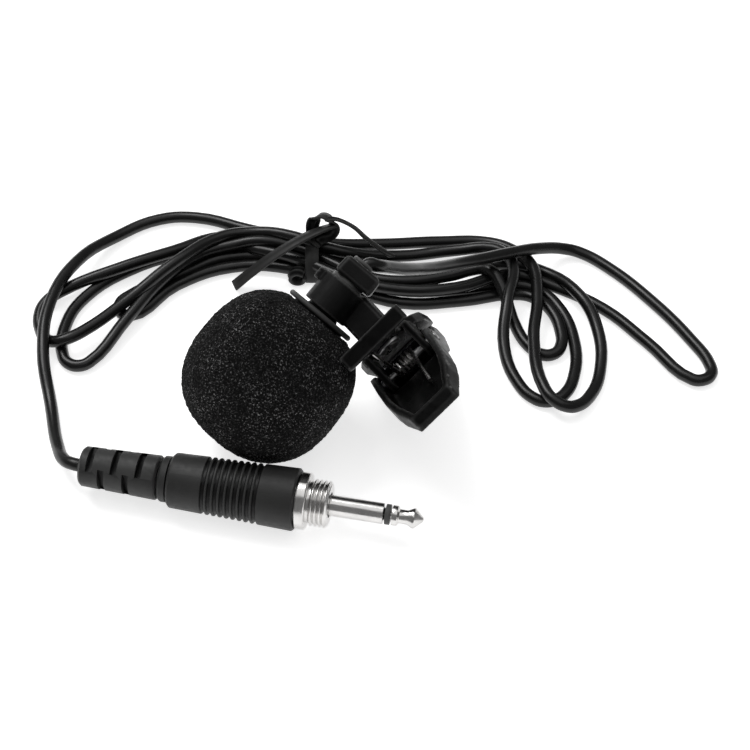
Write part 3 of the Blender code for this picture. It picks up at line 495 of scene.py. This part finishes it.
def foam_profile():
    """Radius and height along the microphone's axis, from the mouth's rim round to the far pole."""
    rows = []
    for i in range(FOAM_ALONG + 1):
        angle = math.pi * i / FOAM_ALONG
        back = math.cos(angle) >= 0
        reach = FOAM_MOUTH - FOAM_WIDEST if back else FOAM_FRONT
        height = FOAM_WIDEST + reach * math.cos(angle)
        power, wide = (2.6, 13.8) if back else (2.3, FOAM_FRONT)
        away = min(1.0, abs(height - FOAM_WIDEST) / wide)
        rows.append((FOAM_R * (1 - away ** power) ** (1 / power), height))
    return rows


def foam_relief(place):
    """How far the foam's surface stands in, in millimetres: two sizes of grain and a slow unevenness."""
    coarse = noise.noise(place * 900.0)
    slow = noise.noise(place * 130.0)
    fine = noise.noise(place * 2100.0)
    return 0.06 + 0.1 * coarse + 0.1 * slow + 0.16 * fine


def windscreen():
    """The foam ball with its blind bore, turned round the microphone's axis."""
    rows = foam_profile()
    bore, depth = FOAM_BORE_R, FOAM_BORE_END
    inner = [(bore + FOAM_LIP, FOAM_MOUTH), (bore, FOAM_MOUTH - FOAM_LIP), (bore, -5.0), (bore, -9.0),
             (bore, depth)]
    verts, faces = [], []
    for k, (radius, height) in enumerate([*reversed(inner), *rows[:-1]]):
        outside = k >= len(inner)
        for j in range(FOAM_AROUND):
            turn = 2 * math.pi * j / FOAM_AROUND
            ray = Vector((math.cos(turn), math.sin(turn), 0.0))
            local = ray * radius + Vector((0, 0, height))
            place = MIC @ (local * MM)
            if outside:
                outward = (local - Vector((0, 0, FOAM_WIDEST))).normalized()
                local += outward * (FOAM_SWELL - foam_relief(place))
            verts.append(MIC @ (local * MM))
        if k:
            base = (k - 1) * FOAM_AROUND
            faces += [(base + j, base + (j + 1) % FOAM_AROUND, base + FOAM_AROUND + (j + 1) % FOAM_AROUND,
                       base + FOAM_AROUND + j) for j in range(FOAM_AROUND)]
    floor, pole = len(verts), len(verts) + 1
    verts += [MIC @ (Vector((0, 0, depth)) * MM), MIC @ (Vector((0, 0, rows[-1][1])) * MM)]
    last = floor - FOAM_AROUND
    faces += [(j, floor, (j + 1) % FOAM_AROUND) for j in range(FOAM_AROUND)]
    faces += [(last + j, last + (j + 1) % FOAM_AROUND, pole) for j in range(FOAM_AROUND)]
    ball = mesh_object("foam_windscreen", verts, faces, FOAM)
    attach(ball, "windscreen")
    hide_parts("windscreen")


windscreen()

# ---- The hard parts, with rounded edges ----

# Node, piece, finish, slot, body, bevel in millimetres, passes, and cell size in millimetres where it melts.
HARD_PARTS = [
    ("mic_body", "mic_body_shell", MATT, "moulded_black_plastic", "root", 0.1, 2, 0.0),
    ("cable_grommet", "cord_grommet", MATT, "moulded_black_plastic", "root", 0.0, 9, 0.16),
    ("holder_ring", "clip_holder_ring", MATT, "moulded_black_plastic", "holder", 0.0, 8, 0.16),
    ("swivel_screw", "clip_screw", STEEL, "pin_steel", "holder", 0.06, 2, 0.0),
    ("clip_jaw_upper", "clip_plate", GLOSS, "gloss_black_plastic", "clip", 0.0, 12, 0.17),
    ("jaw_pin", "clip_pin", STEEL, "pin_steel", "clip", 0.12, 2, 0.0),
    ("jaw_spring", "clip_spring", SPRING, "spring_steel", "clip", 0.0, 1, 0.0),
    ("clip_jaw_lower", "clip_lever", GLOSS, "gloss_black_plastic", "jaw", 0.0, 28, 0.18),
    ("strain_relief", "plug_strain_relief", TEXTURED, "textured_black_plastic", "root", 0.1, 2, 0.0),
    ("plug_core", "plug_body", TEXTURED, "textured_black_plastic", "root", 0.1, 2, 0.0),
    ("lock_grip", "plug_lock_grip", TEXTURED, "textured_black_plastic", "lock_sleeve", 0.06, 2, 0.0),
    ("lock_bush", "plug_lock_bush", NICKEL, "plug_nickel", "lock_sleeve", 0.05, 2, 0.0),
    ("pin_shaft", "plug_pin_shaft", NICKEL, "plug_nickel", "root", 0.08, 2, 0.0),
    ("pin_insulator", "plug_pin_ring", MATT, "moulded_black_plastic", "root", 0.04, 2, 0.0),
    ("pin_tip", "plug_pin_tip", NICKEL, "plug_nickel", "root", 0.05, 2, 0.0),
]
made = {row[1]: refined(*row) for row in HARD_PARTS}


def lathe(name, profile, matrix, mat, steps=64):
    """A ring turned round a frame's Z axis from a closed profile of radius and height in millimetres."""
    verts = [matrix @ (Vector((math.cos(turn) * radius, math.sin(turn) * radius, height)) * MM)
             for turn in [2 * math.pi * j / steps for j in range(steps)] for radius, height in profile]
    count = len(profile)
    faces = [(j * count + k, j * count + (k + 1) % count, (j + 1) % steps * count + (k + 1) % count,
              (j + 1) % steps * count + k) for j in range(steps) for k in range(count)]
    return mesh_object(name, verts, faces, mat)


# Rings that close the gaps round the lead and between the clip's ring and the grommet.
LIP = [(0.95, 9.6), (1.4, 9.6), (1.4, 10.35), (1.9, 10.35), (1.9, 10.8), (1.7, 11.0), (0.95, 11.0)]
COLLAR = [(2.2, 5.85), (2.75, 5.85), (2.95, 6.0), (2.95, 6.9), (2.2, 6.9)]
lip = lathe("cord_lip", LIP, MIC, MATT)
collar = lathe("cord_collar", COLLAR, MIC, MATT)
for ring in (lip, collar):
    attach(ring, "root")

# ---- Floor and lights ----


FLOOR_HALF = 2.5
FLOOR_DROP = 0.05 * MM


def floor_and_lights():
    """A plain pale floor, a faint even sky, and two soft lamps placed in metres from the table's origin."""
    half = FLOOR_HALF
    low = CAD_BOX[0][2] - FLOOR_DROP
    corners = [(-half, -half, low), (half, -half, low), (half, half, low), (-half, half, low)]
    pale = bpy.data.materials.new("studio_floor")
    pale.use_nodes = True
    shader = pale.node_tree.nodes["Principled BSDF"]
    shader.inputs["Base Color"].default_value = (0.85, 0.85, 0.85, 1.0)
    shader.inputs["Roughness"].default_value = 0.9
    shader.inputs["Specular IOR Level"].default_value = 0.1
    shader.inputs["Emission Color"].default_value = (1.0, 1.0, 1.0, 1.0)
    shader.inputs["Emission Strength"].default_value = 0.7
    ground = mesh_object("studio_floor", [Vector(c) for c in corners], [(0, 1, 2, 3)], pale, smooth=False)

    world = bpy.data.worlds.new("studio")
    bpy.context.scene.world = world
    world.use_nodes = True
    world.node_tree.nodes["Background"].inputs["Color"].default_value = (1.0, 1.0, 1.0, 1.0)
    world.node_tree.nodes["Background"].inputs["Strength"].default_value = 0.2
    # Name, place, side in metres, power in watts.
    lights = [
        ("key", (-0.36, 0.36, 0.8), 0.45, 4.2),
        ("overhead", (0.05, 0.1, 1.1), 1.2, 3.6),
    ]
    for name, place, size, power in lights:
        lamp = bpy.data.lights.new(name, "AREA")
        lamp.shape = "SQUARE"
        lamp.size = size
        lamp.energy = power
        obj = bpy.data.objects.new(name, lamp)
        bpy.context.scene.collection.objects.link(obj)
        obj.location = at((0, 0, 0)) + Vector(place)
        obj.rotation_euler = Vector(place).to_track_quat("Z", "Y").to_euler()
    bpy.context.scene.view_settings.view_transform = "Standard"


floor_and_lights()
